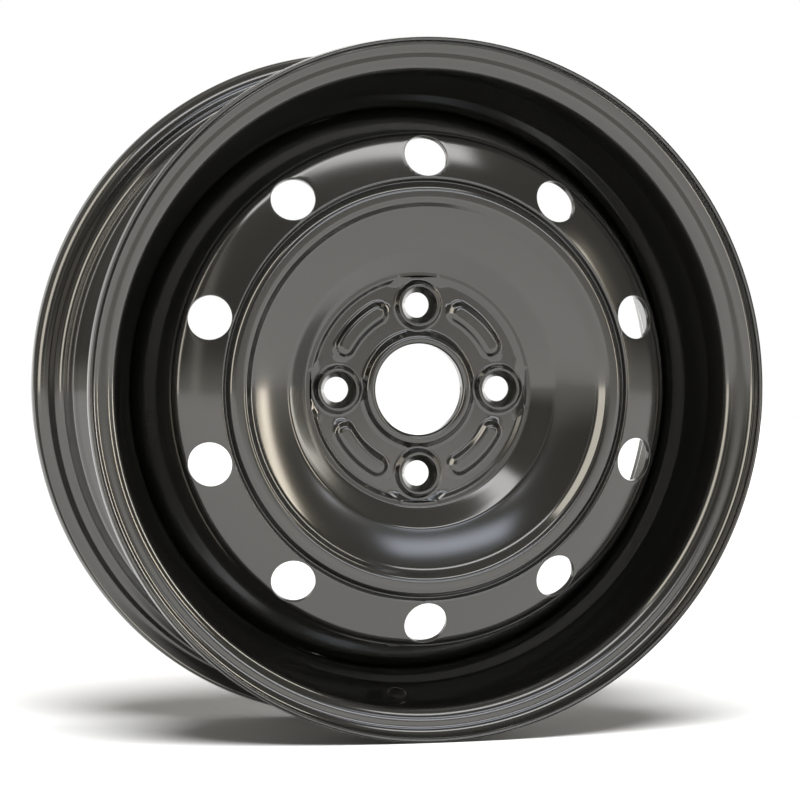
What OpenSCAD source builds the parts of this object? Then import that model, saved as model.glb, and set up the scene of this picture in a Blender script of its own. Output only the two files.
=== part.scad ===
// Pressed steel car wheel, 15 inch by 5.5 inch, with four bolts.
// The axle is the Y axis, the outboard face looks towards -Y, and the origin is at the rim's middle.
// Every section below is drawn as [radius, height], where height runs outboard along the axle.

/* [Rim] */
// Nominal diameter of the bead seats
seat_d = 380.2; // [370:0.1:390]
// Width between the flanges
rim_w = 139.7; // [135:0.1:153]
// Thickness of the rolled rim sheet
rim_t = 2.5; // [2:0.1:3]
// Height of the flanges above the bead seats
flange_h = 17.3; // [16.5:0.1:19]
// Outer radius of the flange's curl
curl_r = 9.5; // [8.5:0.1:10.5]
// How far the curl wraps round
curl_turn = 112; // [95:1:125]
// Fillet between flange and bead seat
heel_r = 6.5; // [4:0.5:7]
// Taper of the bead seats
seat_taper = 5; // [3:0.5:6]
// Width of each bead seat
seat_w = 19.8; // [19:0.1:21]
// Height of the safety humps above the end of the seat
hump_h = 1.1; // [0.6:0.1:2]
// Distance from the end of the seat to the hump's crest
hump_run = 4.2; // [3.5:0.1:5]
// Bend radius of the humps
hump_r = 6; // [5:0.5:7]
// Depth of the well below the nominal bead seat
well_depth = 19.6; // [18.5:0.1:21]
// Height of the well floor's outboard end
well_out = 21.5; // [19:0.5:22]
// Height of the well floor's inboard end
well_in = -8; // [-10:0.5:-7.5]
// Bend radius of the well's corners
well_r = 10; // [8:0.5:12]
// How far the knee of the outboard side wall stands out from the well floor
knee_rise = 8.5; // [7.5:0.1:9.5]
// Distance from the well floor's outboard end to that knee
knee_run = 6.5; // [6:0.1:7.5]
// How far the shoulder of the inboard side wall lies below the nominal bead seat
ramp_drop = 3.5; // [3:0.1:4]
// Distance from that shoulder to the crest of the inboard hump
ramp_gap = 3.85; // [3.5:0.05:5]

/* [Valve hole] */
// Diameter of the valve hole
valve_d = 11.3; // [10:0.1:12]
// Where the valve hole lies round the wheel
valve_angle = 267; // [262:1:274]

/* [Disc] */
// Distance of the mounting face outboard of the rim's middle
offset = 45; // [44:0.5:46]
// Thickness of the disc's sheet
disc_t = 3.5; // [3:0.1:4]
// Gap between the disc's flange and the well
press_gap = 0.05; // [0.02:0.01:0.1]
// Height of the inboard end of the disc's flange
flange_in = 2; // [1:0.5:3]
// Height where the disc's flange turns into the draft wall
flange_out = 18; // [16:0.5:19]
// Radial width of the draft wall between flange and vent ring
draft_w = 16.45; // [15:0.05:18]
// Bend radius of the shoulder between draft wall and vent ring
shoulder_r = 14; // [10:0.5:18]

/* [Vents] */
// Number of vents
vents = 10; // [8:1:12]
// Diameter of a vent
vent_d = 26; // [22:0.1:28]
// Distance of the circle of vents from the vent ring's inner edge
vent_in = 13.3; // [12.8:0.1:13.8]
// Radial width of the vent ring
ring_w = 26.6; // [26:0.1:28]
// Height of the vent ring's inner edge above the hub plate
ring_h = 21.3; // [20:0.1:23]
// How far the vent ring falls from that edge to the shoulder
ring_drop = 11.4; // [10:0.1:12.5]
// How far the vent ring bows out between its edges
ring_bow = 0.9; // [0.5:0.1:1.2]

/* [Crown] */
// Radial distance from the groove's bottom to the vent ring
groove_out = 2; // [1.8:0.1:2.4]
// Radial distance from the groove's bottom to the crown
groove_in = 3.3; // [3:0.1:3.8]
// Depth of the groove below the vent ring's edge
groove_deep = 3.3; // [2.8:0.1:3.6]
// Height of the crown above the vent ring's edge
crown_rise = 1.5; // [1:0.1:2.5]
// Radial width of the crown
crown_w = 7.8; // [7:0.1:9]
// Radial width of the wall between crown and dish
wall_w = 4.8; // [4:0.1:6]
// Height of that wall
wall_h = 5.2; // [4.5:0.1:6]
// Radial width of the cup wall between hub plate and dish
cup_w = 12.3; // [11:0.1:14]
// Height of the dish's inner edge above the hub plate
dish_in_h = 11; // [10:0.1:12]
// How far the dish hollows between its edges
dish_bow = 0.9; // [0.5:0.1:1]

/* [Hub plate] */
// Diameter of the centre bore
bore_d = 54.1; // [52:0.1:57.1]
// Radial width of the raised collar round the bore, at its foot
collar_w = 7.95; // [7:0.05:9]
// Radial width of the collar's top
collar_top_w = 4.6; // [4:0.1:5]
// Height of the collar above the hub plate
collar_h = 4.5; // [3:0.1:6]
// Bevel at the inboard edge of the bore
bore_bevel = 1.2; // [0.5:0.1:2]
// Radius of the flat hub plate
plate_rad = 64.5; // [64:0.1:65.5]
// Radial width of the step up to the ring round the plate
step_w = 2.5; // [2:0.1:3]
// Height of that ring above the plate
step_h = 2.2; // [1.5:0.1:3]
// Radial width of that ring
step_top_w = 3.2; // [2.8:0.1:4]

/* [Bolt holes] */
// Number of bolts
bolts = 4; // [4:1:4]
// Diameter of the bolt circle
pcd = 100; // [98:1:100]
// Diameter of a bolt hole
bolt_d = 15; // [13:0.1:15.5]
// Included angle of the conical bolt seats
seat_cone = 60; // [60:1:70]
// Diameter of a seat at its mouth
seat_mouth = 22; // [21:0.1:23]
// Diameter of a boss at its foot
boss_d = 29; // [28:0.1:30]
// Diameter of a boss at its top
boss_top_d = 25; // [24.5:0.1:26]
// Height of a boss above the hub plate
boss_h = 4; // [3:0.1:5]

/* [Embosses] */
// Radius of the circle on which the arc-shaped embosses lie
emboss_rad = 52; // [51:0.5:53]
// Width of an emboss at its foot
emboss_w = 14; // [12:0.1:15]
// Width of an emboss across its flat top
emboss_top_w = 5; // [4:0.1:6]
// Height of an emboss
emboss_h = 3.4; // [2.5:0.1:4]
// Angle between the centres of an emboss's round ends
emboss_arc = 31; // [24:1:34]

/* [Welds] */
// Number of weld beads between disc and rim
welds = 8; // [4:1:10]
// Arc that each bead covers
weld_arc = 28; // [15:1:32]
// Size of a bead's leg
weld_leg = 3.2; // [2.5:0.1:3.4]
// Distance of a bead's face from both walls
weld_face = 2; // [1.8:0.1:2.2]

/* [Hidden] */
paint = [0.13, 0.13, 0.12];
weld_paint = [0.2, 0.2, 0.19];
bend_step = 11;
$fn = 96;
// Bend radii of the disc's outboard side, from the hub plate outwards
plate_r = 1.5;
cup_r = 2;
dish_in_r = 5;
dish_out_r = 8;
crown_in_r = 5;
crown_out_r = 4.5;
groove_r = 0.5;
ring_r = 1.5;
flange_r = 8;
// Bend radius of the bowed dish and vent ring, and the longest facet of a wide bend
bow_r = 135;
chord = 6;
// Bend at the outer edge of the collar's top, and the one at the bore
collar_r = 3;
collar_lip = 2.4;
// Easing of the top edges of bosses and embosses
ease = 0.8;
// How much narrower than an emboss the hollow behind it is, at its foot and at its top
hollow_in = 4.2;
hollow_top_in = 1.5;
// Share of a leg that the bends at its two ends may take
snug = 0.999;
// Length of a drill, and how far other cuts run past a face
drill = 28;
spare = 1;
seat_rad = seat_d / 2;
flange_z = rim_w / 2;
curl_c = [seat_rad + flange_h - curl_r, flange_z + curl_r];
well_rad = seat_rad - well_depth;
seat_end = [seat_rad - seat_w * tan(seat_taper), flange_z - seat_w];
hump = [seat_end.x + hump_h, seat_end.y - hump_run];
knee = [well_rad + knee_rise, well_out + knee_run];
ramp = [seat_rad - ramp_drop, ramp_gap - hump.y];
plate_z = offset + disc_t;
flange_rad = well_rad - rim_t - press_gap;
ring_edge = [flange_rad - draft_w - ring_w, plate_z + ring_h];
shoulder = ring_edge + [ring_w, -ring_drop];
groove = ring_edge - [groove_out, groove_deep];
crown_out = [groove.x - groove_in, ring_edge.y + crown_rise];
crown_in = crown_out - [crown_w, 0];
dish_out = crown_in - [wall_w, wall_h];
step = [plate_rad + step_w, plate_z + step_h];
cup = step + [step_top_w, 0];
dish_in = [cup.x + cup_w, plate_z + dish_in_h];
vent_slope = atan2(ring_drop, ring_w);
vent_p = ring_edge + vent_in * [1, -tan(vent_slope)];
valve_wall = along(knee, hump);
valve_p = (knee + hump) / 2;
boss_step = 180 / bolts;
// How deep a raised form is sunk into the sheet under it
sink = 1.2;

// Unit vector that points from p to q
function along(p, q) = (q - p) / norm(q - p);

// Direction turned a quarter to the left
function left(d) = [-d.y, d.x];

// Corner of a path: a point with its bend radius
function corner(p, r) = [p.x, p.y, r];

// Point of a corner, without its bend radius
function point(c) = [c[0], c[1]];

// Which way a path turns: 1 to the left, -1 to the right
function turn(d, e) = sign(d.x * e.y - d.y * e.x);

// Path of corners [radius, height, bend radius] moved sideways by s, to its left
function beside(path, s) = [
    for (i = [0 : len(path) - 1])
        let (k = len(path) - 1,
             d = along(point(path[max(i, 1) - 1]), point(path[max(i, 1)])),
             e = along(point(path[min(i, k - 1)]), point(path[min(i, k - 1) + 1])),
             p = point(path[i]) + s * (left(d) + left(e)) / (1 + d * e))
            [p.x, p.y, path[i][2] - s * turn(d, e)]
];

// Points of one bend of radius r between directions d and e, whose sharp corner is at b
function bend(d, b, e, r) =
    let (a = acos(min(1, d * e)),
         w = turn(d, e),
         m = b - d * r * tan(a / 2) + left(d) * w * r,
         n = max(1, ceil(a / bend_step), ceil(a * PI / 180 * r / chord)),
         s = -w * r * left(d))
        r <= 0 || a < 0.01 ? [b] :
        [for (j = [0 : n])
            let (v = w * a * j / n)
                m + [s.x * cos(v) - s.y * sin(v), s.x * sin(v) + s.y * cos(v)]];

// Length of the leg after corner i of a path
function leg(path, i) = norm(point(path[i + 1]) - point(path[i]));

// Direction of that leg
function way(path, i) = along(point(path[i]), point(path[i + 1]));

// How much of its legs the bend at corner i takes: nothing at the ends of the path
function reach(path, i) =
    i < 1 || i > len(path) - 2 ? 0 :
    max(0, path[i][2]) * tan(acos(min(1, way(path, i - 1) * way(path, i))) / 2);

// Bend radius at corner i, limited by its legs where two bends would meet
function fitted(path, i) =
    let (t = reach(path, i),
         before = leg(path, i - 1) / max(t + reach(path, i - 1), press_gap),
         after = leg(path, i) / max(t + reach(path, i + 1), press_gap))
        path[i][2] * min(1, snug * before, snug * after);

// The path with every inner corner bent to its radius
function bent(path) = [
    point(path[0]),
    for (i = [1 : len(path) - 2])
        each bend(way(path, i - 1), point(path[i]), way(path, i), fitted(path, i)),
    point(path[len(path) - 1])
];

function reversed(list) = [for (i = [len(list) - 1 : -1 : 0]) list[i]];

// Corner that bows the leg from p to q to its left by the distance s
function bowed(p, q, s) =
    corner((p + q) / 2 + s * left(along(p, q)), bow_r);

// Half-round that rolls over a cut edge of sheet, from point p to point q on the path's right
function edge(p, q) =
    let (m = (p + q) / 2, h = (p - q) / 2, o = left(h))
        [for (v = [30 : 30 : 150]) m + h * cos(v) + o * sin(v)];

// Corner k of the two that make the flange's curl, on the side that the tyre touches
function curl(k) =
    let (v = curl_turn * (2 * k + 1) / 4, s = curl_r / cos(curl_turn / 4))
        [curl_c.x + s * sin(v), curl_c.y - s * cos(v), curl_r];

// Corners of the rim's outer half, from the curl's edge to the hump
function rim_half() = [
    [curl_c.x + curl_r * sin(curl_turn), curl_c.y - curl_r * cos(curl_turn), 0],
    curl(1),
    curl(0),
    [seat_rad, flange_z, heel_r],
    corner(seat_end, hump_r),
    corner(hump, hump_r)
];

// Corners of the whole rim on the side that the tyre touches, from outboard to inboard
function rim_path() = concat(
    rim_half(),
    [corner(knee, well_r),
     [well_rad, well_out, well_r],
     [well_rad, well_in, well_r],
     corner(ramp, hump_r)],
    [for (c = reversed(rim_half())) [c[0], -c[1], c[2]]]
);

// Corners of the disc's outboard side, from the bore to the end of the flange
function disc_path() = [
    [bore_d / 2 - sink, plate_z, 0],
    [plate_rad, plate_z, plate_r],
    corner(step, plate_r),
    corner(cup, cup_r),
    corner(dish_in, dish_in_r),
    bowed(dish_in, dish_out, -dish_bow),
    corner(dish_out, dish_out_r),
    corner(crown_in, crown_in_r),
    corner(crown_out, crown_out_r),
    corner(groove, groove_r),
    corner(ring_edge, ring_r),
    bowed(ring_edge, shoulder, ring_bow),
    corner(shoulder, shoulder_r),
    [flange_rad, flange_out, flange_r],
    [flange_rad, flange_in, 0]
];

// Puts what is modelled about Z, outboard up, onto the axle
module on_axle() {
    rotate([90, 0, 0]) children();
}

// Copies n children evenly round the axle, the first at angle a
module ring_of(n, a = 0) {
    for (i = [0 : n - 1]) rotate([0, 0, a + 360 * i / n]) children();
}

module rim_section() {
    tyre_side = rim_path();
    inside = beside(tyre_side, -rim_t);
    last = len(tyre_side) - 1;
    polygon(concat(
        bent(tyre_side),
        edge(point(tyre_side[last]), point(inside[last])),
        reversed(bent(inside)),
        edge(point(inside[0]), point(tyre_side[0]))
    ));
}

module disc_section() {
    front = disc_path();
    polygon(concat(bent(front), reversed(bent(beside(front, -disc_t)))));
}

// Hole for the valve, square to the outboard side wall of the well
module valve_hole() {
    rotate([0, 0, valve_angle])
        translate([valve_p.x, 0, valve_p.y])
            rotate([0, -atan2(valve_wall.y, valve_wall.x), 0])
                cylinder(d = valve_d, h = drill, center = true);
}

module rim() {
    color(paint) on_axle() difference() {
        rotate_extrude() rim_section();
        valve_hole();
    }
}

// Raised collar that stiffens the edge of the centre bore
module collar() {
    lip = [bore_d / 2, plate_z + collar_h];
    brow = lip + [collar_top_w, 0];
    foot = [bore_d / 2 + collar_w, plate_z];
    flank = along(foot, brow);
    rotate_extrude() polygon(concat(
        [[lip.x - sink, plate_z - sink], foot - flank * sink / flank.y],
        bend(flank, brow, [-1, 0], collar_r),
        bend([-1, 0], lip, [0, -1], collar_lip),
        [lip - [sink, collar_lip]]
    ));
}

// Half section of an arc emboss that is w wide at its foot and h high, sunk a little into the sheet
function emboss_half(w, top, h) =
    let (lean = (w - top) / 2 / h)
        [[0, -sink],
         [w / 2 + sink * lean, -sink],
         [top / 2 + ease * lean, h - ease],
         [top / 2 - ease, h],
         [0, h]];

// Arc-shaped bead with domed ends, as the press raises it
module emboss(w, top, h) {
    half = emboss_half(w, top, h);
    rotate([0, 0, -emboss_arc / 2])
        rotate_extrude(angle = emboss_arc)
            translate([emboss_rad, 0])
                union() {
                    polygon(half);
                    mirror([1, 0]) polygon(half);
                }
    for (side = [-1, 1])
        rotate([0, 0, side * emboss_arc / 2])
            translate([emboss_rad, 0, 0])
                rotate([0, 0, side > 0 ? 0 : 180])
                    rotate_extrude(angle = 180) polygon(half);
}

// Raised boss round a bolt hole
module bolt_boss() {
    lean = (boss_d - boss_top_d) / 2 / boss_h;
    translate([pcd / 2, 0, plate_z])
        rotate_extrude() polygon([
            [0, -sink],
            [boss_d / 2 + sink * lean, -sink],
            [boss_top_d / 2 + ease * lean, boss_h - ease],
            [boss_top_d / 2 - ease, boss_h],
            [0, boss_h]
        ]);
}

// Bolt hole with its conical seat
module bolt_hole() {
    top = plate_z + boss_h;
    seat_deep = (seat_mouth - bolt_d) / 2 / tan(seat_cone / 2);
    translate([pcd / 2, 0, 0]) {
        translate([0, 0, offset - spare]) cylinder(d = bolt_d, h = top - offset + 2 * spare);
        translate([0, 0, top - seat_deep])
            cylinder(d1 = bolt_d, d2 = seat_mouth, h = seat_deep);
        translate([0, 0, top]) cylinder(d = seat_mouth, h = spare);
    }
}

// Vent pierced square to the sloping ring
module vent() {
    translate([vent_p.x, 0, vent_p.y])
        rotate([0, vent_slope, 0])
            cylinder(d = vent_d, h = drill, center = true);
}

module disc() {
    color(paint) on_axle() difference() {
        union() {
            rotate_extrude() disc_section();
            collar();
            ring_of(bolts) bolt_boss();
            ring_of(bolts, boss_step)
                translate([0, 0, plate_z]) emboss(emboss_w, emboss_top_w, emboss_h);
        }
        translate([0, 0, offset - spare]) cylinder(d = bore_d, h = disc_t + collar_h + 2 * spare);
        translate([0, 0, offset - bore_bevel])
            cylinder(d1 = bore_d + 4 * bore_bevel, d2 = bore_d, h = 2 * bore_bevel);
        ring_of(bolts) bolt_hole();
        ring_of(bolts, boss_step)
            translate([0, 0, offset])
                emboss(emboss_w - hollow_in, emboss_top_w - hollow_top_in, emboss_h);
        ring_of(vents, 90) vent();
    }
}

// Fillet beads in the corner between the end of the disc's flange and the well
module disc_welds() {
    wall = well_rad - rim_t;
    color(weld_paint) on_axle() ring_of(welds, 90)
        rotate([0, 0, -weld_arc / 2])
            rotate_extrude(angle = weld_arc) polygon([
                [wall, flange_in],
                [wall - weld_leg, flange_in],
                [wall - weld_face, flange_in - weld_face],
                [wall, flange_in - weld_leg]
            ]);
}

rim();
disc();
disc_welds();
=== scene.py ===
"""A pressed steel car wheel in gloss black paint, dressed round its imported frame.

Sections of sheet are drawn as [radius, height] in millimetres; height runs outboard along the axle (-Y).
"""

import math

import bmesh
import bpy
import numpy as np
from mathutils import Matrix, Vector
from mathutils.geometry import delaunay_2d_cdt


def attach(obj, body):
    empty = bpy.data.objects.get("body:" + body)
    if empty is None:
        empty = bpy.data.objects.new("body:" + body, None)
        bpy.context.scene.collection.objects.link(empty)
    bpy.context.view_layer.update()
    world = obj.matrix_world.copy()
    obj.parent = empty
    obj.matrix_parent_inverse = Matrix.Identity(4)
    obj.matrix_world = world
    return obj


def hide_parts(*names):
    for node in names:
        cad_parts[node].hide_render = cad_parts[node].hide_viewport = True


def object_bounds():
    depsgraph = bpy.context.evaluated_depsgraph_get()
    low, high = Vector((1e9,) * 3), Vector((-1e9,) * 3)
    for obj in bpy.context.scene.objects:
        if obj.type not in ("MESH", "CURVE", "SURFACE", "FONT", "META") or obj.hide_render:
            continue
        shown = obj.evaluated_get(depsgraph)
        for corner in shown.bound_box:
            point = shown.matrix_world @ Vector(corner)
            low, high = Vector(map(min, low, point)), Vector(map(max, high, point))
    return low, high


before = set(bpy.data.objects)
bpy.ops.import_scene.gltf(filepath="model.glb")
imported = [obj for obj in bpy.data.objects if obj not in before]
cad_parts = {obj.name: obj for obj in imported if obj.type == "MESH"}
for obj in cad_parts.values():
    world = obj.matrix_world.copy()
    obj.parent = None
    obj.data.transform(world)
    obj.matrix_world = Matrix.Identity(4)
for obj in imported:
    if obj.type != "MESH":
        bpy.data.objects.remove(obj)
cad_low, cad_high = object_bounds()

MM = 0.001

# Rolled rim, all in millimetres
SEAT_RAD = 190.1
FLANGE_Z = 69.85
FLANGE_H = 17.3
RIM_T = 2.5
CURL_R = 9.5
CURL_TURN = 112.0
HEEL_R = 6.5
SEAT_TAPER = math.radians(5.0)
SEAT_W = 19.8
HUMP_H = 1.1
HUMP_RUN = 4.2
HUMP_R = 6.0
WELL_RAD = SEAT_RAD - 19.6
WELL_OUT = 21.5
WELL_IN = -8.0
WELL_R = 10.0
KNEE = (179.0, 28.0)
RAMP = (186.6, -42.0)
RIM_COLUMNS = 360
VALVE_R = 5.65
VALVE_ANGLE = math.radians(267.0)
VALVE_WALL = (22.0, 50.0)
VALVE_EDGE = 0.3

# Pressed disc
OFFSET = 45.0
DISC_T = 3.5
PLATE_Z = OFFSET + DISC_T
FLANGE_RAD = WELL_RAD - RIM_T - 0.05
FLANGE_IN = 2.0
FLANGE_OUT = 18.0
FLANGE_R = 8.0
SHOULDER = (151.5, 9.9, 14.0)
RING = (124.9, 21.3, 1.5)
RING_END = 160.0
GROOVE = (122.9, 18.0, 0.5)
CROWN_OUT = (119.6, 22.8, 4.5)
CROWN_IN = (111.8, 22.8, 5.0)
DISH_OUT = (107.0, 17.6, 8.0)
DISH_IN = (82.5, 11.0, 5.0)
RING_BOW = 0.9
DISH_BOW = 0.9
BOW_R = 135.0
CUP = (70.2, 2.2, 2.0)
STEP = (67.0, 2.2, 1.5)
PLATE = (64.5, 0.0, 1.5)
BORE_RAD = 27.05
COLLAR_RAD = 35.0
COLLAR_TOP_W = 4.6
COLLAR_H = 4.5
COLLAR_LIP_R = 2.4
COLLAR_FOOT_R = 3.0
BORE_BEVEL = 1.2
DISC_COLUMNS = 280
PLATE_GAP, PLATE_GAP_BACK = 0.75, 2.0
FACE_GAP, FACE_GAP_BACK = 4.0, 6.0
FACE_SPAN = (60.0, 153.0)

# Holes and embosses of the disc
VENTS = 10
VENT_R = 13.0
VENT_RAD = 138.2
VENT_EDGE = 0.5
BOLTS = 4
BOLT_RAD = 50.0
BOLT_R = 7.5
SEAT_MOUTH_R = 11.0
BOSS_FOOT_R = 14.5
BOSS_TOP_R = 12.5
BOSS_H = 4.0
SEAT_CONE = math.radians(60.0)
SEAT_SPREAD = 1.8
EMBOSS_RAD = 52.0
EMBOSS_HALF_W = 7.0
EMBOSS_TOP_HALF = 2.5
EMBOSS_H = 3.4
EMBOSS_BACK_NARROW = 2.0
EMBOSS_EASE = (0.4, 0.6)
EMBOSS_HALF_ARC = math.radians(15.5)

# Weld beads
WELDS = 8
WELD_ARC = math.radians(28.0)
WELD_LEG = 3.2
WELD_RIPPLE = 1.7

# Orange peel of the paint: width and depth in millimetres, and roughness
SHEET_PEEL = (1.6, 0.004, 0.16)
WELD_PEEL = (0.9, 0.02, 0.24)

# Photograph's viewpoint, from the fit of its outline, vents and bolt holes
VIEW_YAW = math.radians(17.08)
VIEW_LIFT = math.radians(1.34)
VIEW_DISTANCE = 2252.8
VIEW_SHIFT = (10.14, 6.50)
VIEW_TARGET_Y = -47.0
FOCAL_PX = 3784.8
FRAME_PX = 800.0
SENSOR = 36.0


# Sections of sheet

def arc_corner(before, corner, after, radius, step):
    """Points of one bend: an arc of that radius tangent to both legs, one point each `step` degrees."""
    d = (corner - before) / np.linalg.norm(corner - before)
    e = (after - corner) / np.linalg.norm(after - corner)
    angle = math.acos(min(1.0, float(d @ e)))
    if radius <= 0 or angle < 1e-3:
        return corner[None]
    side = math.copysign(1.0, d[0] * e[1] - d[1] * e[0])
    left = np.array([-d[1], d[0]])
    middle = corner - d * radius * math.tan(angle / 2) + left * side * radius
    count = max(2, math.ceil(math.degrees(angle) / step) + 1, math.ceil(angle * radius / 2.4) + 1)
    turn = side * np.linspace(0, angle, count)
    x, y = -side * radius * left
    return middle + np.stack([x * np.cos(turn) - y * np.sin(turn), x * np.sin(turn) + y * np.cos(turn)], 1)


def bent(corners, step=6.0):
    """A run of sheet: the legs between corners [radius, height, bend radius], with each corner bent."""
    c = np.array(corners, float)
    parts = [c[:1, :2]]
    for i in range(1, len(c) - 1):
        parts.append(arc_corner(c[i - 1, :2], c[i, :2], c[i + 1, :2], c[i, 2], step))
    parts.append(c[-1:, :2])
    return np.concatenate(parts)


def beside(corners, shift):
    """The same run moved sideways to its left by `shift`: corners by their mitre, bend radii by the shift."""
    c = np.array(corners, float)
    leg = np.diff(c[:, :2], axis=0)
    leg /= np.linalg.norm(leg, axis=1)[:, None]
    d = np.concatenate([leg[:1], leg])
    e = np.concatenate([leg, leg[-1:]])
    normal = np.stack([-d[:, 1] - e[:, 1], d[:, 0] + e[:, 0]], 1)
    out = c.copy()
    out[:, :2] += shift * normal / (1 + (d * e).sum(1))[:, None]
    out[:, 2] -= shift * np.sign(d[:, 0] * e[:, 1] - d[:, 1] * e[:, 0])
    return out


def dense(path, gap, low=-1e9, high=1e9):
    """The path with points added evenly on legs longer than `gap` whose radius is between low and high."""
    parts = []
    for p, q in zip(path[:-1], path[1:]):
        inside = low <= min(p[0], q[0]) and max(p[0], q[0]) <= high
        n = max(1, math.ceil(np.linalg.norm(q - p) / gap)) if inside else 1
        parts.append(p + (q - p) * np.arange(n)[:, None] / n)
    return np.concatenate(parts + [path[-1:]])


def rim_corners():
    """Corners of the rim on the tyre's side: curl, heel, seat, hump and well, then the mirrored half."""
    centre = np.array([SEAT_RAD + FLANGE_H - CURL_R, FLANGE_Z + CURL_R])
    turn = math.radians(CURL_TURN)
    end = centre + CURL_R * np.array([math.sin(turn), -math.cos(turn)])
    curl = [
        (*(centre + CURL_R / math.cos(turn / 4) * np.array([math.sin(a), -math.cos(a)])), CURL_R)
        for a in (turn * 0.75, turn * 0.25)
    ]
    seat_end = (SEAT_RAD - SEAT_W * math.tan(SEAT_TAPER), FLANGE_Z - SEAT_W)
    hump = (seat_end[0] + HUMP_H, seat_end[1] - HUMP_RUN)
    half = [(*end, 0.0), *curl, (SEAT_RAD, FLANGE_Z, HEEL_R), (*seat_end, HUMP_R), (*hump, HUMP_R)]
    well = [(*KNEE, WELL_R), (WELL_RAD, WELL_OUT, WELL_R), (WELL_RAD, WELL_IN, WELL_R), (*RAMP, HUMP_R)]
    return half + well + [(r, -z, bend) for r, z, bend in reversed(half)]


def bowed(p, q, shift):
    """Corner that bows the leg from p to q to its left by `shift`."""
    along = np.array([q[0] - p[0], q[1] - p[1]])
    along /= np.linalg.norm(along)
    return ((p[0] + q[0]) / 2 - shift * along[1], (p[1] + q[1]) / 2 + shift * along[0], BOW_R)


def disc_corners():
    """Corners of the disc's outboard side, from the hub plate to the end of its flange."""
    face = [PLATE, STEP, CUP, DISH_IN, bowed(DISH_IN, DISH_OUT, -DISH_BOW), DISH_OUT, CROWN_IN, CROWN_OUT,
            GROOVE, RING, bowed(RING, SHOULDER, RING_BOW), SHOULDER]
    return [(r, PLATE_Z + h, bend) for r, h, bend in face] + [
        (FLANGE_RAD, FLANGE_OUT, FLANGE_R), (FLANGE_RAD, FLANGE_IN, 0.0)]


# Meshes

def round_edge(p, q, points=5):
    """Half-round over a cut edge of sheet from p to q, bulging to the left of the way from p to q."""
    middle, half = (p + q) / 2, (p - q) / 2
    out = np.array([-half[1], half[0]])
    a = np.linspace(0, math.pi, points + 2)[1:-1, None]
    return middle + half * np.cos(a) + out * np.sin(a)


class Shell:
    """A closed shell: a section loop turned about the axle on a grid, with windows patched round holes."""

    def __init__(self, loop, columns):
        self.loop = loop
        self.rows, self.columns = len(loop), columns
        self.angle = np.arange(columns) * 2 * math.pi / columns
        r, a = np.meshgrid(loop[:, 0], self.angle, indexing="ij")
        z = np.repeat(loop[:, 1:2], columns, 1)
        self.points = [np.stack([r * np.cos(a), r * np.sin(a), z], -1).reshape(-1, 3)]
        self.count = self.rows * columns
        self.open = np.ones((self.rows, columns), bool)
        self.faces = []

    def add(self, points):
        """Adds points in wheel coordinates [x, y, height] and returns their numbers."""
        start = self.count
        self.points.append(points.reshape(-1, 3))
        self.count += len(self.points[-1])
        return np.arange(start, self.count)

    def window(self, rows, columns, ring, ring_uv, u, v):
        """Cuts the cells of a window from the grid and fills it, round a ring of points, with triangles.

        The filling is a Delaunay triangulation in the plane of u, the length along the section, and v, the
        arc length round the axle; grid points inside the ring are left out.
        """
        i = np.arange(rows[0], rows[1] + 1)
        j = np.arange(columns[0], columns[1] + 1)
        self.open[i[:-1][:, None], j[:-1][None] % self.columns] = False
        uu, vv = np.meshgrid(u[i], v(j), indexing="ij")
        number = (i[:, None] * self.columns + j[None] % self.columns).ravel()
        flat = np.stack([uu.ravel(), vv.ravel()], 1)
        middle = ring_uv.mean(0)
        reach = np.linalg.norm(ring_uv - middle, axis=1).max() + 0.35
        radius = np.linalg.norm(flat - middle, axis=1)
        keep = radius > reach
        flat = np.concatenate([flat[keep], ring_uv])
        number = np.concatenate([number[keep], ring])
        n = len(flat) - len(ring)
        edges = [(n + k, n + (k + 1) % len(ring)) for k in range(len(ring))]
        made = delaunay_2d_cdt([Vector(p) for p in flat], edges, [], 0, 1e-7)
        source = np.array([ids[0] if ids else -1 for ids in made[3]])
        if len(made[0]) != len(flat) or (source < 0).any():
            raise ValueError("the triangulation of a window added points")
        tris = source[np.array(made[2])]
        centre = flat[tris].mean(1) - middle
        bearing = np.arctan2(centre[:, 1], centre[:, 0])
        ring_b = np.arctan2(*(ring_uv - middle).T[::-1])
        order = np.argsort(ring_b)
        limit = np.interp(bearing, ring_b[order], np.linalg.norm(ring_uv - middle, axis=1)[order],
                          period=2 * math.pi)
        outside = np.linalg.norm(centre, axis=1) > limit * 0.999
        self.faces.append(number[tris[outside]])

    def strip(self, rings):
        """Joins rings of equally many points, each to the next, with quads."""
        for a, b in zip(rings[:-1], rings[1:]):
            self.faces.append(np.stack([a, np.roll(a, -1), np.roll(b, -1), b], 1))

    def mesh(self, name):
        """The finished mesh, in the row frame, with loose points dropped and normals facing outwards."""
        i, j = np.nonzero(self.open)
        c, up, on = self.columns, (i + 1) % self.rows, (j + 1) % self.columns
        cells = np.stack([i * c + j, i * c + on, up * c + on, up * c + j], 1)
        faces = [cells] + self.faces
        points = np.concatenate(self.points)
        used = np.zeros(self.count, bool)
        for f in faces:
            used[f.ravel()] = True
        new = np.cumsum(used) - 1
        points = points[used]
        co = np.stack([points[:, 0], -points[:, 2], points[:, 1]], 1) * MM
        return mesh_from(name, co, [new[f] for f in faces])


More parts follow.
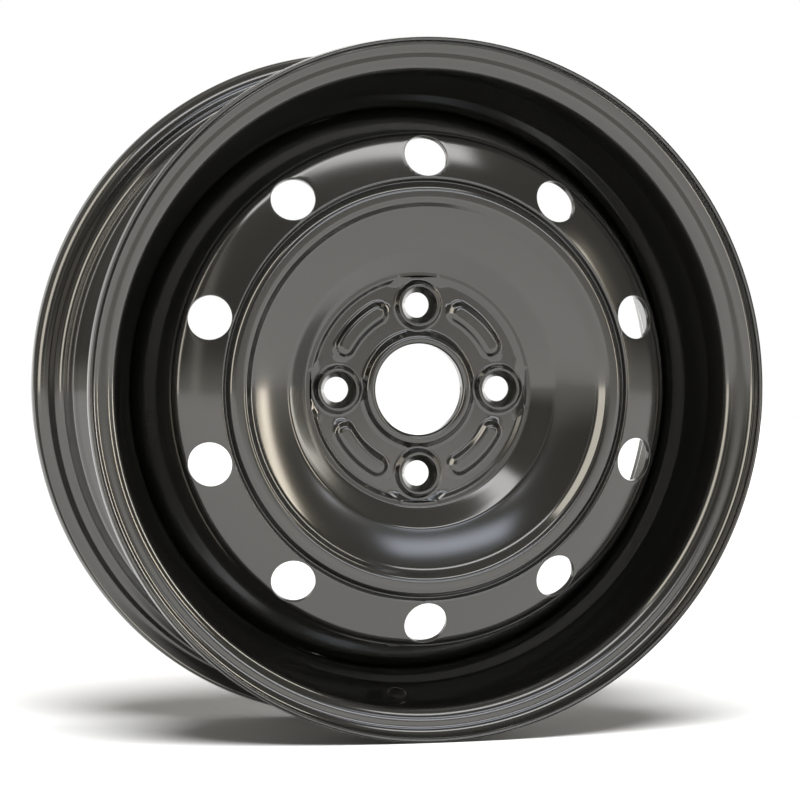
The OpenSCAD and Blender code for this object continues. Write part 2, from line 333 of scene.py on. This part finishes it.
def mesh_from(name, co, faces):
    """A mesh from points and arrays of faces, smooth, with its normals made to face outwards."""
    mesh = bpy.data.meshes.new(name)
    loops = np.concatenate([f.ravel() for f in faces])
    sizes = np.concatenate([np.full(len(f), f.shape[1]) for f in faces])
    mesh.vertices.add(len(co))
    mesh.vertices.foreach_set("co", co.astype(np.float32).ravel())
    mesh.loops.add(len(loops))
    mesh.loops.foreach_set("vertex_index", loops.astype(np.int32))
    mesh.polygons.add(len(sizes))
    mesh.polygons.foreach_set("loop_start", (np.cumsum(sizes) - sizes).astype(np.int32))
    mesh.update(calc_edges=True)
    mesh.validate()
    shell = bmesh.new()
    shell.from_mesh(mesh)
    bmesh.ops.recalc_face_normals(shell, faces=shell.faces)
    shell.to_mesh(mesh)
    shell.free()
    mesh.shade_smooth()
    return mesh


def piece(name, mesh, node, material):
    """An object for the mesh that stands for a node of the frame."""
    mesh.materials.append(material)
    o = bpy.data.objects.new(name, mesh)
    bpy.context.scene.collection.objects.link(o)
    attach(o, "root")
    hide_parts(node)


class Drill:
    """The straight line of a hole: a point on it, its direction outwards, and two directions across it."""

    def __init__(self, radius, angle, height, tilt, ring=72):
        ca, sa = math.cos(angle), math.sin(angle)
        self.radius, self.turn = radius, angle
        self.centre = np.array([radius * ca, radius * sa, height])
        self.out = np.array([math.sin(tilt) * ca, math.sin(tilt) * sa, math.cos(tilt)])
        along = np.array([math.cos(tilt) * ca, math.cos(tilt) * sa, -math.sin(tilt)])
        round_ = np.array([-sa, ca, 0.0])
        b = np.arange(ring) * 2 * math.pi / ring
        self.spoke = along * np.cos(b)[:, None] + round_ * np.sin(b)[:, None]

    def at(self, rho, lift):
        """Points at distance rho from the line, at height lift along it; both may be arrays over the ring."""
        return self.centre + self.spoke * np.reshape(rho, (-1, 1)) + self.out * np.reshape(lift, (-1, 1))

    def meet(self, rho, above, reach=14.0):
        """Height along the line where a parallel line at distance rho meets the surface, by halving."""
        low = np.full(len(self.spoke), -reach)
        high = np.full(len(self.spoke), reach)
        for _ in range(44):
            half = (low + high) / 2
            up = above(self.at(rho, half)) > 0
            high = np.where(up, half, high)
            low = np.where(up, low, half)
        return (low + high) / 2


def fillet(rho0, h0, rho1, h1, rho2, h2, steps=4):
    """Points (distance, height) of a quadratic curve from 0 to 2 with its corner at 1, its start left out."""
    s = np.linspace(0, 1, steps + 1)[1:, None]
    a, b, c = (np.broadcast_to(np.stack(np.broadcast_arrays(r, h)), (2, np.size(h))) for r, h in
               ((rho0, h0), (rho1, h1), (rho2, h2)))
    return [(1 - t) ** 2 * a + 2 * t * (1 - t) * b + t ** 2 * c for t in s[:, 0]]


def rows_between(values, low, high, first, last):
    """First and last row in [first, last] whose value lies between low and high."""
    rows = np.arange(first, last + 1)
    inside = rows[(values[rows] > low) & (values[rows] < high)]
    return int(inside.min()), int(inside.max())


def pierce(shell, drill, front, back, edge, radius):
    """A round hole through both faces of a sheet, with its edges rolled over by `edge`.

    front and back are (above, rows, u, key): the surface's test, its rows in the shell, the length along
    the section at each row, and which coordinate, radius or height, that length is read from.
    """
    rings = []
    for sign, (above, rows, u, key) in ((1, front), (-1, back)):
        rim_h = drill.meet(radius + edge, above)
        lip_h = drill.meet(radius, above)
        outer = drill.at(radius + edge, rim_h)
        ring = shell.add(outer)
        open_window(shell, drill, outer, ring, rows, u, key, radius + edge)
        roll = fillet(radius + edge, rim_h, radius, lip_h, radius, lip_h - sign * edge)
        own = [ring] + [shell.add(drill.at(rho, h)) for rho, h in roll]
        rings += own if sign > 0 else own[::-1]
    shell.strip(rings)


def open_window(shell, drill, outer, ring, rows, u, key, radius):
    """The window of the grid round a ring of points, a little wider than the ring."""
    r = np.hypot(outer[:, 0], outer[:, 1])
    value = r if key == "radius" else outer[:, 2]
    column = 0 if key == "radius" else 1
    along = shell.loop[:, column]
    pad = 1.6
    i0, i1 = rows_between(along, value.min() - pad, value.max() + pad, *rows)
    step = 2 * math.pi / shell.columns
    half = math.asin((radius + 3.0) / r.mean())
    j0 = math.floor((drill.turn - half) / step)
    j1 = math.ceil((drill.turn + half) / step)
    order = np.arange(rows[0], rows[1] + 1)
    order = order[np.argsort(along[order])]
    bearing = np.unwrap(np.arctan2(outer[:, 1], outer[:, 0]) - drill.turn)
    bearing -= round(float(bearing.mean()) / (2 * math.pi)) * 2 * math.pi
    ring_uv = np.stack([np.interp(value, along[order], u[order]), bearing * drill.radius], 1)
    shell.window((i0, i1), (j0, j1), ring, ring_uv, u,
                 lambda j: (j * step - drill.turn) * drill.radius)


def run_lengths(loop):
    """Length along the section loop at each of its points."""
    return np.concatenate([[0.0], np.cumsum(np.linalg.norm(np.diff(loop, axis=0), axis=1))])


# The three pieces

def disc_shell():
    """The pressed disc: its section turned, its embosses raised, its bolt seats and vents pierced."""
    face = disc_corners()
    top = PLATE_Z + COLLAR_H
    collar = [(BORE_RAD, OFFSET + BORE_BEVEL, 0.0), (BORE_RAD, top, COLLAR_LIP_R),
              (BORE_RAD + COLLAR_TOP_W, top, COLLAR_FOOT_R), (COLLAR_RAD, PLATE_Z, COLLAR_FOOT_R)]
    front = dense(bent(collar + face), PLATE_GAP, COLLAR_RAD - 2.0, PLATE[0] + 0.5)
    front = dense(front, FACE_GAP, *FACE_SPAN)
    first = [(BORE_RAD, OFFSET + BORE_BEVEL, 0.0), (BORE_RAD + BORE_BEVEL, OFFSET, 0.3)]
    inner = beside([(BORE_RAD, PLATE_Z, 0.0)] + face, -DISC_T)[1:]
    back = bent(first + [tuple(c) for c in inner], 10.0)
    back = dense(back, PLATE_GAP_BACK, BORE_RAD, PLATE[0])
    back = dense(back, FACE_GAP_BACK, *FACE_SPAN)[::-1]
    end = round_edge(front[-1], back[0], 3)
    loop = np.concatenate([front, end, back[:-1]])
    shell = Shell(loop, DISC_COLUMNS)
    u = run_lengths(loop)
    front_rows = (0, len(front) - 1)
    back_rows = (len(front) + len(end), len(loop) - 1)

    def surface(path):
        """Test for a point's height above a face that is one-valued over the radius."""
        order = np.argsort(path[:, 0])
        return lambda p: p[:, 2] - np.interp(np.hypot(p[:, 0], p[:, 1]), path[order, 0], path[order, 1])

    ring_front = front[(front[:, 0] > GROOVE[0]) & (front[:, 0] < RING_END)]
    ring_back = back[(back[:, 0] > GROOVE[0] - 6) & (back[:, 0] < RING_END - 2)]
    slope = math.atan2(RING[1] - SHOULDER[1], SHOULDER[0] - RING[0])
    height = PLATE_Z + RING[1] - (VENT_RAD - RING[0]) * math.tan(slope)
    for k in range(VENTS):
        drill = Drill(VENT_RAD, math.pi / 2 + k * 2 * math.pi / VENTS, height, slope)
        pierce(shell, drill,
               (surface(ring_front), front_rows, u, "radius"),
               (surface(ring_back), back_rows, u, "radius"), VENT_EDGE, VENT_R)
    for k in range(BOLTS):
        drill = Drill(BOLT_RAD, k * 2 * math.pi / BOLTS, PLATE_Z, 0.0, 96)
        bolt_seat(shell, drill, front_rows, back_rows, u)
    emboss(shell, front_rows, back_rows)
    return shell


def bolt_seat(shell, drill, front_rows, back_rows, u):
    """Boss, conical seat and hole: a section [distance from the hole's line, height] turned about it."""
    deep = (SEAT_MOUTH_R - BOLT_R) / math.tan(SEAT_CONE / 2)
    section = bent([
        (BOSS_FOOT_R + SEAT_SPREAD, 0.0, 0.0), (BOSS_FOOT_R, 0.0, 1.6), (BOSS_TOP_R, BOSS_H, 1.0),
        (SEAT_MOUTH_R, BOSS_H, 0.5), (BOLT_R, BOSS_H - deep, 0.3), (BOLT_R, -DISC_T, 0.4),
        (BOLT_R + 0.9, -DISC_T, 0.0)], 12.0)
    rings = [shell.add(drill.at(rho, h)) for rho, h in section]
    for ring, rows, (rho, h) in ((rings[0], front_rows, section[0]), (rings[-1], back_rows, section[-1])):
        open_window(shell, drill, drill.at(rho, h), ring, rows, u, "radius", rho)
    shell.strip(rings)


def emboss(shell, front_rows, back_rows):
    """Raises the four arc-shaped beads of the hub plate on both faces.

    The height at a point is a smooth step of its distance from the bead's arc: full within the top's half
    width, nothing beyond the foot's.
    """
    grid = shell.points[0]
    r = np.hypot(grid[:, 0], grid[:, 1])
    a = np.arctan2(grid[:, 1], grid[:, 0])
    pitch = 2 * math.pi / BOLTS
    off = a % pitch - pitch / 2
    reach = np.maximum(np.abs(off) - EMBOSS_HALF_ARC, 0.0)
    away = np.hypot(r - EMBOSS_RAD * np.cos(reach), EMBOSS_RAD * np.sin(reach))
    row = np.repeat(np.arange(shell.rows), shell.columns)
    for rows, narrow in ((front_rows, 0.0), (back_rows, EMBOSS_BACK_NARROW)):
        foot = EMBOSS_HALF_W + EMBOSS_EASE[0] - narrow
        crest = EMBOSS_TOP_HALF + EMBOSS_EASE[1] - narrow / 2
        t = np.clip((foot - away) / (foot - crest), 0, 1)
        lift = EMBOSS_H * t * t * (3 - 2 * t)
        here = (row >= rows[0]) & (row <= rows[1]) & (r > COLLAR_RAD) & (r < PLATE[0])
        grid[:, 2] += np.where(here, lift, 0)


def rim_shell():
    """The rolled rim: its section turned, and the valve hole pierced square to the well's side wall."""
    corners = rim_corners()
    tyre = dense(bent(corners, 8.0), 2.6, 176.0, 192.0)
    inside = dense(bent(beside(corners, -RIM_T), 8.0), 2.6, 174.0, 190.0)[::-1]
    lip = round_edge(tyre[-1], inside[0])
    loop = np.concatenate([tyre, lip, inside, round_edge(inside[-1], tyre[0])])
    shell = Shell(loop, RIM_COLUMNS)
    u = run_lengths(loop)

    def wall(path):
        """Test for a point's distance inside a face that is one-valued over the height of the side wall."""
        part = path[(path[:, 1] > VALVE_WALL[0]) & (path[:, 1] < VALVE_WALL[1])]
        order = np.argsort(part[:, 1])
        return lambda p: np.interp(p[:, 2], part[order, 1], part[order, 0]) - np.hypot(p[:, 0], p[:, 1])

    def wall_rows(path, start):
        """First and last row of a face on the side wall; the face starts at row `start` of the shell."""
        near = np.nonzero((path[:, 1] > VALVE_WALL[0]) & (path[:, 1] < VALVE_WALL[1]))[0]
        return start + int(near.min()), start + int(near.max())

    hump = np.array(corners[5][:2])
    knee = np.array(KNEE)
    way = (hump - knee) / np.linalg.norm(hump - knee)
    centre = (hump + knee) / 2
    drill = Drill(centre[0], VALVE_ANGLE, centre[1], math.atan2(-way[1], way[0]), 48)
    pierce(shell, drill,
           (wall(inside), wall_rows(inside, len(tyre) + len(lip)), u, "height"),
           (wall(tyre), wall_rows(tyre, 0), u, "height"), VALVE_EDGE, VALVE_R)
    return shell


def weld_mesh():
    """The fillet beads: a bulged triangle carried along an arc, with the ripples of the pool in its face.

    Across the bead the face bulges as a sine; along it the bulge grows and falls with each ripple, and the
    whole section shrinks to nothing over the ends.
    """
    points, faces, start = [], [], 0
    along, across = 150, 11
    s = np.linspace(0, 1, along)
    wall = WELL_RAD - RIM_T
    for k in range(WELDS):
        a = math.pi / 2 + k * 2 * math.pi / WELDS + (s - 0.5) * WELD_ARC
        taper = np.clip(np.minimum(s, 1 - s) / 0.025, 0, 1) ** 0.5
        ripple = 1 + 0.16 * np.sin(2 * math.pi * s * WELD_ARC * wall / WELD_RIPPLE + 0.8 * np.sin(9 * s + k))
        leg = np.maximum(WELD_LEG * taper, 0.05)
        t = np.linspace(0, 1, across)
        bulge = 0.22 * np.sin(math.pi * t)[None] * (leg * ripple)[:, None]
        r = wall - leg[:, None] * (1 - t) - bulge * 0.7
        z = FLANGE_IN - leg[:, None] * t - bulge * 0.7
        r = np.concatenate([r, np.full((along, 1), wall)], 1)
        z = np.concatenate([z, np.full((along, 1), FLANGE_IN)], 1)
        aa = np.repeat(a[:, None], across + 1, 1)
        points.append(np.stack([r * np.cos(aa), -z, r * np.sin(aa)], -1).reshape(-1, 3) * MM)
        i, j = np.meshgrid(np.arange(along - 1), np.arange(across + 1), indexing="ij")
        n, jj = across + 1, (j + 1) % (across + 1)
        quads = np.stack([i * n + j, i * n + jj, (i + 1) * n + jj, (i + 1) * n + j], -1).reshape(-1, 4)
        fan = np.arange(1, n - 1)
        caps = [np.stack([0 * fan, fan, fan + 1], 1), np.stack([0 * fan, fan + 1, fan], 1) + (along - 1) * n]
        faces += [quads + start] + [c + start for c in caps]
        start += along * n
    return mesh_from("disc_welds_beads", np.concatenate(points), faces)


# Materials

def linear(hex_colour):
    """An sRGB hex colour as linear RGBA."""
    c = np.array([int(hex_colour[k:k + 2], 16) for k in (0, 2, 4)]) / 255
    return (*np.where(c <= 0.04045, c / 12.92, ((c + 0.055) / 1.055) ** 2.4), 1.0)


def add_node(tree, kind, settings=None, **inputs):
    """Adds a node, sets its properties, and sets or links its inputs by name, or by number as _0, _1."""
    node = tree.nodes.new(kind)
    for key, value in (settings or {}).items():
        setattr(node, key, value)
    for key, value in inputs.items():
        socket = node.inputs[int(key[1:]) if key[0] == "_" else key.replace("_", " ")]
        if isinstance(value, bpy.types.NodeSocket):
            tree.links.new(value, socket)
        else:
            socket.default_value = value
    return node


def gloss_black_paint(name, peel_mm, peel_depth_mm, roughness):
    """Black dip and powder paint on pressed steel: baked on, so it is thick, glossy and a little wavy.

    The eye gets long soft reflections that waver by the orange peel, over a warm near-black body.
    """
    material = bpy.data.materials.new(name)
    material.use_nodes = True
    tree = material.node_tree
    tree.nodes.clear()
    place = add_node(tree, "ShaderNodeTexCoord")
    peel = add_node(tree, "ShaderNodeTexNoise", Vector=place.outputs["Object"],
                    Scale=1000.0 / peel_mm, Detail=1.5, Roughness=0.4)
    bump = add_node(tree, "ShaderNodeBump", Height=peel.outputs["Fac"], Strength=1.0,
                    Distance=peel_depth_mm * MM)
    cloud = add_node(tree, "ShaderNodeTexNoise", Vector=place.outputs["Object"], Scale=14.0, Detail=3.0)
    rough = add_node(tree, "ShaderNodeMapRange", Value=cloud.outputs["Fac"], _1=0.3, _2=0.7,
                     _3=roughness * 0.85, _4=roughness * 1.15)
    body = add_node(tree, "ShaderNodeBsdfPrincipled", Base_Color=linear("121210"),
                    Roughness=rough.outputs["Result"], Normal=bump.outputs["Normal"])
    body.inputs["IOR"].default_value = 1.7
    body.inputs["Specular Tint"].default_value = linear("fffdf6")
    body.inputs["Coat Weight"].default_value = 0.8
    body.inputs["Coat Roughness"].default_value = 0.08
    add_node(tree, "ShaderNodeOutputMaterial", Surface=body.outputs["BSDF"])
    return material


def studio_floor():
    """A matt paper floor under the lips of the rim, which the front light brings up to white."""
    material = bpy.data.materials.new("matt_white_paper")
    material.use_nodes = True
    body = material.node_tree.nodes["Principled BSDF"]
    body.inputs["Base Color"].default_value = linear("7e7e7e")
    body.inputs["Roughness"].default_value = 0.9
    mesh = bpy.data.meshes.new("floor")
    half, level = FLOOR_HALF, cad_low[2]
    corners = [(-half, -half, level), (half, -half, level), (half, half, level), (-half, half, level)]
    mesh.from_pydata(corners, [], [(0, 1, 2, 3)])
    mesh.materials.append(material)
    floor = bpy.data.objects.new("floor", mesh)
    bpy.context.scene.collection.objects.link(floor)
    return floor


def front_key(bearing, lift, spread, strength, floor):
    """Soft light from the front, on the floor alone, that throws the wheel's shadow back over it."""
    a, b = math.radians(bearing), math.radians(lift)
    light = bpy.data.lights.new("front_key", "SUN")
    light.angle, light.energy = math.radians(spread), strength
    o = bpy.data.objects.new("front_key", light)
    ahead = Vector((math.sin(a) * math.cos(b), -math.cos(a) * math.cos(b), math.sin(b)))
    o.rotation_euler = ahead.to_track_quat("Z", "Y").to_euler()
    lit = bpy.data.collections.new("front_key_lights")
    lit.objects.link(floor)
    o.light_linking.receiver_collection = lit
    bpy.context.scene.collection.objects.link(o)


def panel(tree, ray, bearing, lift, half_width, half_height, soft, strength, shade):
    """A soft-edged bright panel in the sky.

    Bearing turns from -Y towards +X and lift is above the horizon. In the panel's own plane at unit distance
    its light is strength * ramp(half_width - |x|) * ramp(half_height - |y|), each ramp `soft` wide.
    """
    a, b = math.radians(bearing), math.radians(lift)
    ahead = (math.sin(a) * math.cos(b), -math.cos(a) * math.cos(b), math.sin(b))
    side = (math.cos(a), math.sin(a), 0.0)
    up = (-math.sin(a) * math.sin(b), math.cos(a) * math.sin(b), math.cos(b))
    dot = {"operation": "DOT_PRODUCT"}
    depth = add_node(tree, "ShaderNodeVectorMath", dot, _0=ray, _1=ahead).outputs["Value"]
    depth = add_node(tree, "ShaderNodeMath", {"operation": "MAXIMUM"}, _0=depth, _1=0.02).outputs[0]
    light = strength
    for axis, half in ((side, half_width), (up, half_height)):
        across = add_node(tree, "ShaderNodeVectorMath", dot, _0=ray, _1=axis).outputs["Value"]
        across = add_node(tree, "ShaderNodeMath", {"operation": "DIVIDE"}, _0=across, _1=depth).outputs[0]
        across = add_node(tree, "ShaderNodeMath", {"operation": "ABSOLUTE"}, _0=across).outputs[0]
        edge = math.tan(math.radians(half))
        ramp = add_node(tree, "ShaderNodeMapRange", {"interpolation_type": "SMOOTHSTEP"}, _0=across,
                        _1=edge, _2=max(0.0, edge - soft), _3=0.0, _4=1.0).outputs[0]
        light = add_node(tree, "ShaderNodeMath", {"operation": "MULTIPLY"}, _0=ramp, _1=light).outputs[0]
    tint = add_node(tree, "ShaderNodeVectorMath", {"operation": "SCALE"}, _0=linear(shade)[:3], Scale=light)
    return tint.outputs["Vector"]


# Panels of the studio: bearing, lift, half width and half height in degrees, softness, strength, colour
PANELS = [
    (49, 7, 4.5, 16, 0.07, 10.0, "fff4e4"),
    (14, 24, 14, 6.5, 0.10, 3.6, "e4edff"),
    (-2, 53, 30, 8, 0.10, 5.0, "f8f8fc"),
    (18, 10, 16, 5, 0.06, 4.5, "f4f6ff"),
    (-34, 4, 4, 40, 0.10, 0.8, "fffaf0"),
    (-70, 12, 13, 42, 0.12, 4.5, "fff8ec"),
    (92, 12, 12, 42, 0.12, 9.0, "fffaf0"),
    (150, 10, 30, 30, 0.30, 1.2, "ffffff"),
    (-150, 10, 24, 30, 0.30, 1.0, "ffffff"),
]

# Height and strength of the glow that carries the floor's brightness past the horizon
HORIZON_GLOW = (0.12, 0.5)

# Front light on the floor: bearing, lift and spread in degrees, strength
FRONT_KEY = (-13, 56, 34, 19.0)

FLOOR_HALF = 6.0


def studio():
    """White backdrop to the camera; to everything else a dim room with soft panels."""
    world = bpy.data.worlds.new("studio")
    bpy.context.scene.world = world
    world.use_nodes = True
    tree = world.node_tree
    tree.nodes.clear()
    ray = add_node(tree, "ShaderNodeTexCoord").outputs["Generated"]
    height = add_node(tree, "ShaderNodeSeparateXYZ", Vector=ray).outputs["Z"]
    dim = add_node(tree, "ShaderNodeMapRange", _0=height, _1=0.0, _2=1.0, _3=0.18, _4=0.35).outputs[0]
    glow = add_node(tree, "ShaderNodeMapRange", {"interpolation_type": "SMOOTHSTEP"}, _0=height,
                    _1=0.0, _2=HORIZON_GLOW[0], _3=HORIZON_GLOW[1], _4=0.0).outputs[0]
    dim = add_node(tree, "ShaderNodeMath", {"operation": "ADD"}, _0=dim, _1=glow).outputs[0]
    light = add_node(tree, "ShaderNodeVectorMath", {"operation": "SCALE"}, _0=linear("fffcf2")[:3],
                     Scale=dim).outputs["Vector"]
    for values in PANELS:
        light = add_node(tree, "ShaderNodeVectorMath", {"operation": "ADD"}, _0=light,
                         _1=panel(tree, ray, *values)).outputs["Vector"]
    seen = add_node(tree, "ShaderNodeLightPath").outputs["Is Camera Ray"]
    mix = add_node(tree, "ShaderNodeMix", {"data_type": "VECTOR"}, _0=seen, _4=light, _5=(1.0, 1.0, 1.0))
    back = add_node(tree, "ShaderNodeBackground", Color=mix.outputs[1])
    add_node(tree, "ShaderNodeOutputWorld", Surface=back.outputs[0])
    front_key(*FRONT_KEY, studio_floor())


def camera():
    """The camera of the photograph: turned round the wheel to its left, a little above the axle."""
    right = Vector((math.cos(VIEW_YAW), -math.sin(VIEW_YAW), 0))
    up = Vector((math.sin(VIEW_YAW) * math.sin(VIEW_LIFT), math.cos(VIEW_YAW) * math.sin(VIEW_LIFT),
                 math.cos(VIEW_LIFT)))
    back = right.cross(up)
    place = Vector((0, VIEW_TARGET_Y, 0)) - VIEW_SHIFT[0] * right - VIEW_SHIFT[1] * up + VIEW_DISTANCE * back
    data = bpy.data.cameras.new("camera")
    data.sensor_width = SENSOR
    data.lens = FOCAL_PX * SENSOR / FRAME_PX
    data.clip_start, data.clip_end = 0.05, 50
    o = bpy.data.objects.new("camera", data)
    turn = Matrix((right, up, back)).transposed()
    o.matrix_world = Matrix.Translation(place * MM) @ turn.to_4x4()
    bpy.context.scene.collection.objects.link(o)
    bpy.context.scene.camera = o


camera()
studio()
bpy.context.scene.view_settings.view_transform = "Standard"
rim_paint = gloss_black_paint("gloss_black_paint_rim", *SHEET_PEEL)
disc_paint = gloss_black_paint("gloss_black_paint_disc", *SHEET_PEEL)
weld_paint = gloss_black_paint("gloss_black_paint_weld", *WELD_PEEL)
piece("rim_sheet", rim_shell().mesh("rim_sheet"), "rim", rim_paint)
piece("disc_sheet", disc_shell().mesh("disc_sheet"), "disc", disc_paint)
piece("disc_welds_beads", weld_mesh(), "disc_welds", weld_paint)
